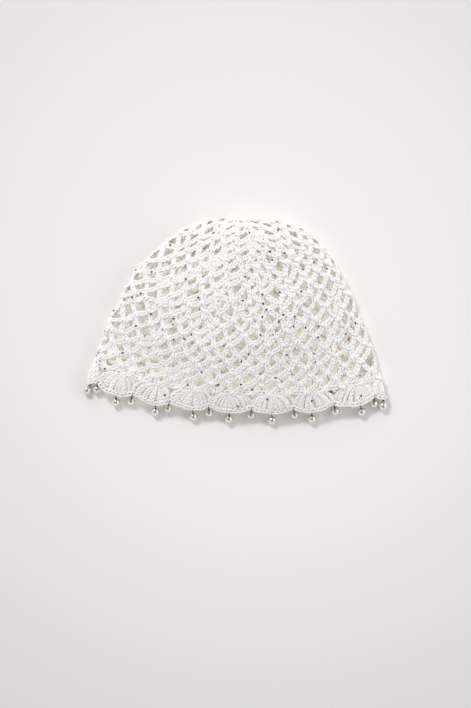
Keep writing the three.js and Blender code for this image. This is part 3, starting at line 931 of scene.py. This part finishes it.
def round_of_chain(way_at, out, width):
    """Chain all round the cap, one line from each tip or dip to the next."""
    s = np.linspace(0, 1, CHAIN_SAMPLES)
    pull_places = np.linspace(0, 1, PULL_POINTS)
    starts, ends = round_turns[1:-2], round_turns[2:-1]
    turns = starts[:, None] + (ends - starts)[:, None] * s
    pulls = rng.normal(0, CHAIN_PULL, (len(starts), PULL_POINTS)) * np.sin(pull_places * math.pi)
    pulled = np.array([np.interp(s, pull_places, pull) for pull in pulls])
    ways = way_at(turns) + pulled * way_per_metre(turns)
    lines = (turns, ways, np.full(turns.shape, out))
    counts = np.maximum(FEWEST_IN_LINE, np.round(line_lengths(lines) / CHAIN_PITCH)).astype(int)
    parts = []
    for count in np.unique(counts):
        chosen = counts == count
        widths = rng.normal(width, ROUND_WIDTH_VARIES, int(chosen.sum()))
        parts.append(lay(chain_stitch, *(v[chosen] for v in lines), int(count), width=widths))
    return join(parts)


def along_top(turn):
    return 1 - (BORDER_WIDTH + BAND_ABOVE) * way_per_metre(turn)


def along_edge(turn):
    return hem_way(turn) - EDGE_ABOVE * way_per_metre(turn)


band = round_of_chain(along_top, BAND_OUT, BAND_WIDTH)
edge = round_of_chain(along_edge, EDGE_OUT, EDGE_WIDTH)
make_piece("border_fans", fans, yarn, "yarn", "shell_border")
make_piece("border_edge", join([band, edge]), yarn, "yarn", "shell_border")

# %% [markdown]
# ## Pearls and their wire rings
# Each pearl hangs on a dark wire ring that goes through the border near its edge, and lies on
# the table just outside it. Its place could be read for each pearl by itself, but then it would
# float free of the fan that carries it. So it is worked out from the fan's own tip or dip.

# %% Places of the pearls
PEARL_RADIUS = 4 * MM
FRONT_REACH, BACK_REACH = 6.4 * MM, 5.5 * MM
TABLE_CLEARANCE = 0.05 * MM
EYELET_INSET = 3.6 * MM

hem_ways = hem_way(drop_turns)
edges, edge_outs = on_cap(drop_turns, hem_ways)
eyelets = on_cap(drop_turns, hem_ways - EYELET_INSET * way_per_metre(drop_turns))[0]
downs = unit(edges - eyelets)
outwards = unit(downs * [1, 1, 0])
asides = np.stack([-outwards[:, 1], outwards[:, 0], np.zeros(len(DROPS))], axis=1)
reaches = np.where(np.arange(len(DROPS)) < len(FRONT_DROPS), FRONT_REACH, BACK_REACH)[:, None]
swings = np.radians(DROPS[:, 1])[:, None]
pearl_places = edges + outwards * reaches * np.cos(swings) + asides * reaches * np.sin(swings)
pearl_places[:, 2] = PEARL_RADIUS + TABLE_CLEARANCE
print("pearls:", len(pearl_places), "their middles, mm above the table:", pearl_places[0, 2] / MM)

# %% [markdown]
# ### Pearl lustre
# A bead's pearl coat mirrors the room softly under a thin clear gloss. Plain white gloss looks
# like china, and glass with depth is slow to render. A half-bright metal under a clear coat has
# the right dark rim and bright spot, and soft noise gives the cloudiness of the real coat.

# %% Pearl finish
pearl, tree, shader = new_material("pearl_coat", Metallic=0.85, Roughness=0.20, Coat_Weight=1.0,
                                   Coat_Roughness=0.06)
clouds = noise(tree, 160.0, 2.0)
feed(ramp(clouds, (0.30, (0.73, 0.69, 0.665)), (0.70, (0.81, 0.78, 0.755))), shader, "Base Color")

# %% [markdown]
# ### Dark wire and dark studs
# The rings are burnished wire and the studs are dark faceted metal. One grey would make both
# look painted, so noise varies the colour and the gloss together, finer on the wire, and worn
# places are lighter and rougher.


# %% Wire and stud finishes
def dark_metal(name, metallic, scale, detail, dark, light, gloss, wear_gloss):
    material, tree, shader = new_material(name, Metallic=metallic)
    wear = noise(tree, scale, detail)
    feed(ramp(wear, (0.35, dark), (0.75, light)), shader, "Base Color")
    feed(wear * wear_gloss + gloss, shader, "Roughness")
    return material


wire = dark_metal("dark_wire", 1.0, 900.0, 3.0, (0.045, 0.042, 0.045), (0.16, 0.15, 0.15), 0.22, 0.25)
stud_metal = dark_metal("dark_stud", 0.9, 420.0, 2.0, (0.05, 0.05, 0.055), (0.20, 0.20, 0.22), 0.18, 0.2)

# %% [markdown]
# ### Making the pearls
# A bead is a true ball, so a bmesh icosphere is both quick and right: its even triangles have no
# poles that would pinch the shine. It is made once and its points are copied to each place.

# %% Pearls
DROP_NODES = [f"pearl_drop_{k + 1:02d}" for k in range(len(DROPS))]


def copies_of(made, turns_in, places):
    """The same shape at many places, each with its own turn given as three axes."""
    points = np.einsum("pk,nkj->npj", made["points"], turns_in) + places[:, None]
    offsets = np.arange(len(places))[:, None, None] * len(made["points"])
    faces = (made["faces"][None] + offsets).reshape(-1, made["faces"].shape[1])
    return {"points": points.reshape(-1, 3), "faces": faces}


def shape_from(make):
    """Points and triangles of a shape made with a bmesh operator."""
    bm = bmesh.new()
    make(bm)
    bmesh.ops.triangulate(bm, faces=bm.faces)
    bm.normal_update()
    bm.verts.ensure_lookup_table()
    points = np.array([v.co for v in bm.verts])
    faces = np.array([[v.index for v in f.verts] for f in bm.faces])
    bm.free()
    return {"points": points, "faces": faces}


def ball(bm):
    bmesh.ops.create_icosphere(bm, subdivisions=4, radius=PEARL_RADIUS)


upright = np.tile(np.eye(3), (len(DROPS), 1, 1))
make_piece("pearls", copies_of(shape_from(ball), upright, pearl_places), pearl, "pearl", *DROP_NODES)

# %% [markdown]
# ### Wire rings
# A maker bends each ring through the border and closes it at the pearl's own small eye. A torus
# would be too regular and would cut the fabric, so each ring is a closed curve that goes down
# one side of the fabric, through the eyelet and back up the other side.

# %% Rings and eyes
RING_WIRE, EYE_WIRE = 0.42 * MM, 0.3 * MM
RING_APART = 1.3 * MM  # from the middle of the fabric to the middle of the wire
RING_STEPS = 4
RING_PAST_EDGE, RING_INSIDE = 0.9 * MM, 1.8 * MM  # places along the ring, from the fabric's edge
RING_CLOSING = 0.95  # the ring is a little narrower inside the edge than outside it
LOWEST_WIRE = 0.6 * MM
RING_EYE, EYE_OUT, EYE_RADIUS = 0.7 * MM, 0.45 * MM, 0.8 * MM
EYE_POINTS = 8

to_edge = unit(edges - pearl_places)
ring_outs = edge_outs * RING_APART
ring_lines = np.stack([
    pearl_places + to_edge * (PEARL_RADIUS + RING_EYE),
    edges + ring_outs + downs * RING_PAST_EDGE,
    edges + ring_outs * RING_CLOSING - downs * RING_INSIDE,
    eyelets,
    edges - ring_outs * RING_CLOSING - downs * RING_INSIDE,
    edges - ring_outs + downs * RING_PAST_EDGE,
], axis=1)
ring_lines[..., 2] = np.maximum(ring_lines[..., 2], LOWEST_WIRE)
rings = bent_tubes(ring_lines, RING_WIRE, closed=True, steps=RING_STEPS)

angles = np.linspace(0, TAU, EYE_POINTS + 1)[:-1, None]
beside = unit(np.cross(to_edge, (0, 0, 1)))
middles = pearl_places + to_edge * (PEARL_RADIUS + EYE_OUT)
circles = np.cos(angles) * to_edge[:, None] + np.sin(angles) * beside[:, None]
eyes = bent_tubes(middles[:, None] + circles * EYE_RADIUS, EYE_WIRE, closed=True)
make_piece("wire_rings", join([rings, eyes]), wire, "wire", *DROP_NODES)

# %% [markdown]
# ## Studs
# Small dark studs are pressed on the yarn here and there, and each catches the light on a few
# facets. Balls would look like beads, so a stud is a short cone with a flat top. Scattering them
# by chance would miss the real ones, so those on the front are placed one by one, and only the
# back, which can't be seen, has scattered ones. Each is set on the highest strand near its place,
# and tilted a little.

# %% Where the studs sit
FRONT_STUDS = [  # millimetres to the right of the cap's origin and up from it, read one by one
    (38, 80), (-19, 78), (12, 78), (-58, 68), (24, 66), (30, 62), (44, 60), (33, 55), (70, 52),
    (81, 48), (-90, 47), (60, 45), (-75, 44), (10, 38), (-45, 37), (58, 26), (-86, 25), (40, 25),
    (24, 24), (-94, 23), (-33, 20), (7, 17), (26, 15), (28, 10), (-111, 9), (-73, 7), (43, 6), (24, 3),
    (52, 3), (-57, 0), (38, -1), (-89, -3), (107, -3), (-57, -4), (52, -5), (62, -5), (73, -5),
    (118, -5), (-121, -7), (-66, -8), (33, -12), (-40, -13), (23, -13), (101, -13), (-82, -14),
    (73, -15), (-56, -17), (-47, -17), (70, -26), (-102, -29), (12, -30), (46, -30), (-126, -31),
    (6, -36), (71, -38), (-120, -44), (-30, -46), (52, -48), (35, -50), (5, -58), (15, -62), (-64, -68),
    (114, -68), (29, -71), (70, -72), (3, -76),
]
BACK_STUDS = 60
LAST_STUD_WAY = 0.985  # a stud stays this far up from the hem
STUD_SEARCH = 5 * MM  # strands within this distance may carry the stud
ASIDE_COST = 0.8  # how much higher a strand has to be for each step that it lies aside
TABLE_FACING = -0.5  # a stud that points further down than this faces the table, and isn't tilted
STUD_TILT = 0.25


def stud_places():
    """The place in the grid of the cap nearest to each stud, then scattered ones at the back."""
    front = cap_points[:, :HALF_TURN, :2].reshape(-1, 2)
    turns, ways = [], []
    for place in np.array(FRONT_STUDS) * MM:
        nearest = int(((front - place) ** 2).sum(axis=1).argmin())
        row, step = divmod(nearest, HALF_TURN)
        turns.append(step / (2 * HALF_TURN))
        ways.append(min(row * WAY_END / WAY_STEPS, LAST_STUD_WAY))
    turns += list(rng.uniform(0.5, 1.0, BACK_STUDS))
    ways += list(np.sqrt(rng.uniform(0.04, 0.94, BACK_STUDS)))
    return np.array(turns), np.array(ways)


places, stud_normals = on_cap(*stud_places())
yarn_points = np.concatenate(net_points + [fans["points"], edge["points"]])[::2]
tops = []
for place, normal in zip(places, stud_normals):
    near = yarn_points[(np.abs(yarn_points - place) < STUD_SEARCH).all(axis=1)]
    away = near - place
    height_above = away @ normal
    sideways = np.linalg.norm(away - height_above[:, None] * normal, axis=1)
    tops.append(near[(height_above - ASIDE_COST * sideways).argmax()] if len(near) else place)
tilted = stud_normals[:, 2:] > TABLE_FACING
stud_normals = unit(stud_normals + rng.normal(0, STUD_TILT, stud_normals.shape) * tilted)
print("studs:", len(tops))

# %% [markdown]
# ### Making the studs
# The cone comes from a bmesh operator with two radii. Eight sides are enough, because a stud is
# only a few pixels wide, and its facets stay flat so that each gives one clean glint.

# %% Studs
STUD_RADIUS, STUD_TOP, STUD_DEPTH = 1.15 * MM, 0.6 * MM, 0.9 * MM
STUD_SIDES = 8
STUD_PROUD = 0.1 * MM
LOWEST_STUD = 0.55 * MM
ODD_DIRECTION = (0.31, 0.95, 0.12)  # any direction that isn't along a stud or a fibre would do


def stud_shape(bm):
    bmesh.ops.create_cone(bm, cap_ends=True, segments=STUD_SIDES, radius1=STUD_RADIUS,
                          radius2=STUD_TOP, depth=STUD_DEPTH)


def facing(normals, spin):
    """Three axes for each normal: the third along it, the first two turned by spin."""
    side = unit(np.cross(normals, ODD_DIRECTION))
    other = np.cross(normals, side)
    first = side * np.cos(spin)[:, None] + other * np.sin(spin)[:, None]
    return np.stack([first, np.cross(normals, first), normals], axis=1)


stud_middles = np.array(tops) + stud_normals * STUD_PROUD
stud_middles[:, 2] = np.maximum(stud_middles[:, 2], LOWEST_STUD)
axes = facing(stud_normals, rng.uniform(0, TAU, len(tops)))
make_piece("studs", copies_of(shape_from(stud_shape), axes, stud_middles), stud_metal, "stud", smooth=False)

# %% [markdown]
# ## Loose fibres
# Soft cotton has loose fibres that stand off the yarn and blur its edge. A hair system would do
# it, but it doesn't export as a mesh. So one short bent hair with four sides to its tube is
# copied to thousands of points of the stitches, at all angles and in several lengths.

# %% Fibre finish and fibres
FIBRE_RADIUS = 0.06 * MM
FIBRE_LINE = np.array([(0, 0, -0.2), (0.5, 0, 0.75), (1.6, 0.2, 1.15)]) * MM
FIBRE_SIZES = (0.6, 1.5)
FIBRES_UP = (0, 0, 0.35)  # the pile stands up a little more than it hangs
FIBRES = {  # name: stitches that they stand on, how many
    "loose_fibres_net": (net_points, 10500),
    "loose_fibres_border": ([fans["points"], edge["points"], band["points"]], 5500),
}

fibre_cotton, tree, shader = new_material("loose_cotton", Roughness=0.95)
shades = noise(tree, 300.0, 2.0)
feed(ramp(shades, (0.30, (0.86, 0.85, 0.82)), (0.70, (0.93, 0.92, 0.90))), shader, "Base Color")

fibre = bent_tubes([FIBRE_LINE], FIBRE_RADIUS, closed=False, sides=0)
for name, (stitches, count) in FIBRES.items():
    roots = rng.choice(np.concatenate(stitches), count, replace=False)
    ways_out = unit(rng.normal(0, 1, (count, 3)) + FIBRES_UP)
    sizes = rng.uniform(*FIBRE_SIZES, count)
    axes = facing(ways_out, rng.uniform(0, TAU, count)) * sizes[:, None, None]
    made = copies_of(fibre, axes, roots)
    made["points"] = rest(made["points"])
    make_piece(name, made, fibre_cotton, "yarn")

# %% [markdown]
# ## The camera
# The photograph looks straight down on the cap from well above. A wide lens close by would show
# the sides of the cap, so a long lens stands far off and keeps the view flat. Its height follows
# from the size of one pixel on the table, so the cap comes out as large as in the photograph.

# %% Camera
SENSOR, LENS = 36 * MM, 85 * MM
PIXEL = 0.92 * MM
FRAME_PIXELS = (471, 708)
ORIGIN_PIXEL = (235.5, 321.4)  # where the cap's own origin lies in the photograph
camera_data = bpy.data.cameras.new("camera")
camera_data.sensor_width = SENSOR / MM
camera_data.lens = LENS / MM
camera_data.clip_start, camera_data.clip_end = 0.05, 20
camera = bpy.data.objects.new("camera", camera_data)
bpy.context.collection.objects.link(camera)
camera.location = ((FRAME_PIXELS[0] / 2 - ORIGIN_PIXEL[0]) * PIXEL,
                   (ORIGIN_PIXEL[1] - FRAME_PIXELS[1] / 2) * PIXEL,
                   FRAME_PIXELS[1] * PIXEL * LENS / SENSOR)
bpy.context.scene.camera = camera
print("camera, metres above the table:", round(camera.location.z, 3))

# %% [markdown]
# ## The table
# The table is a pale sheet and isn't part of the cap. In the photograph it is lightest near the
# cap and falls off towards the edges. A spot lamp could do that, but it would also sharpen the
# shadows, so the pool of light is painted on instead: the paint gets darker with the distance
# from one point.

# %% Table
TABLE_HALF = 6
PAINTED_LIGHT_CENTRE = (0.03, -0.03, 0)  # where the painted pool of light is brightest
table_mesh = bpy.data.meshes.new("table")
bm = bmesh.new()
bmesh.ops.create_grid(bm, x_segments=1, y_segments=1, size=TABLE_HALF)
bm.to_mesh(table_mesh)
bm.free()
table = bpy.data.objects.new("table", table_mesh)
bpy.context.collection.objects.link(table)
table_paint, tree, shader = new_material("table_paint", Roughness=0.9)
place = add_node(tree, "ShaderNodeTexCoord", {}, {}, "Object")
away = add_node(tree, "ShaderNodeVectorMath", {"operation": "DISTANCE"}, {0: place, 1: PAINTED_LIGHT_CENTRE}, "Value")
# painted pool of light: the colour darkens with the distance from the centre of the pool
feed(ramp(away, (0.12, (0.89, 0.884, 0.884)), (0.50, (0.67, 0.662, 0.662))), shader, "Base Color")
table_mesh.materials.append(table_paint)

# %% [markdown]
# ## Light from two sides
# The photograph has one soft main light from the upper left, so its shadows fall to the lower
# right, and a weaker, broader light reaches the cap from the right. A sun lamp's shadows would be
# too even, so both are round area lamps: a small bright one for a window, and a large faint one
# for a far wall.

# %% Two soft lamps
LAMP_COLOUR = (1.0, 0.99, 0.985)


def soft_light(name, place, size, power):
    data = bpy.data.lights.new(name, "AREA")
    data.shape, data.size, data.energy, data.color = "DISK", size, power, LAMP_COLOUR
    lamp = bpy.data.objects.new(name, data)
    lamp.location = place
    lamp.rotation_mode = "QUATERNION"
    lamp.rotation_quaternion = Vector(place).to_track_quat("Z", "Y")
    bpy.context.collection.objects.link(lamp)
    print(name, "watts:", power)


soft_light("window", (-1.1, 1.9, 2.2), 0.7, 47)
soft_light("far_wall", (1.9, 0.2, 1.5), 2.0, 11)

# %% [markdown]
# ## Light between the layers
# Between two layers of white net light bounces many more times than a render follows, so the
# holes of a plain render come out grey where the real ones are cream. More bounces would be slow.
# Faint lamps in the hollow stand for that light instead. They face down on the back layer, they
# stand wherever the hollow is high enough, and they aren't part of the cap.

# %% Lamps in the hollow
GLOW = 1.05  # watts for each square metre of lamp
GLOW_COLUMNS, GLOW_ROWS = np.arange(-8, 9), np.arange(-6, 8)
GLOW_WIDE, GLOW_LONG = 16 * MM, 12 * MM
GLOW_ROOM = 4.5 * MM  # least height of the hollow for a lamp
GLOW_COLOUR = (1.0, 0.90, 0.72)
front_grid = cap_points[:, :HALF_TURN].reshape(-1, 3)
back_grid = cap_points[:, HALF_TURN:2 * HALF_TURN].reshape(-1, 3)


def height_at(grid, across, up):
    return float(grid[((grid[:, :2] - (across, up)) ** 2).sum(axis=1).argmin(), 2])


lamps = 0
for across in GLOW_COLUMNS * GLOW_WIDE:
    for up in GLOW_ROWS * GLOW_LONG:
        top, bottom = height_at(front_grid, across, up), height_at(back_grid, across, up)
        if top - bottom < GLOW_ROOM:
            continue
        data = bpy.data.lights.new("glow", "AREA")
        data.shape, data.size, data.size_y = "RECTANGLE", GLOW_WIDE, GLOW_LONG
        data.energy, data.color = GLOW * GLOW_WIDE * GLOW_LONG, GLOW_COLOUR
        lamp = bpy.data.objects.new("glow", data)
        lamp.location = (across, up, (top + bottom) / 2)
        lamp.visible_camera = False
        bpy.context.collection.objects.link(lamp)
        lamps += 1
print("lamps in the hollow:", lamps)

# %% [markdown]
# ## The room
# Light also comes from the walls all round. One even grey would flatten the net, and a picture of
# a room isn't needed for a matt cap. So the room is bright low down and darker overhead, which
# lights the sides of the yarn and leaves the pearls a dark spot to mirror.

# %% The room
ROOM_STRENGTH = 1.14
world = bpy.data.worlds.new("room")
world.use_nodes = True
direction = add_node(world.node_tree, "ShaderNodeTexCoord", {}, {}, "Generated")
upward = add_node(world.node_tree, "ShaderNodeSeparateXYZ", {}, {0: direction}, "Z")
background = world.node_tree.nodes["Background"]
background.inputs["Strength"].default_value = ROOM_STRENGTH
feed(ramp(upward, (0.30, (1.0, 0.985, 0.985)), (0.80, (0.25, 0.245, 0.25))), background, "Color")
bpy.context.scene.world = world
bpy.context.scene.view_settings.view_transform = "Standard"
print("room strength:", ROOM_STRENGTH)
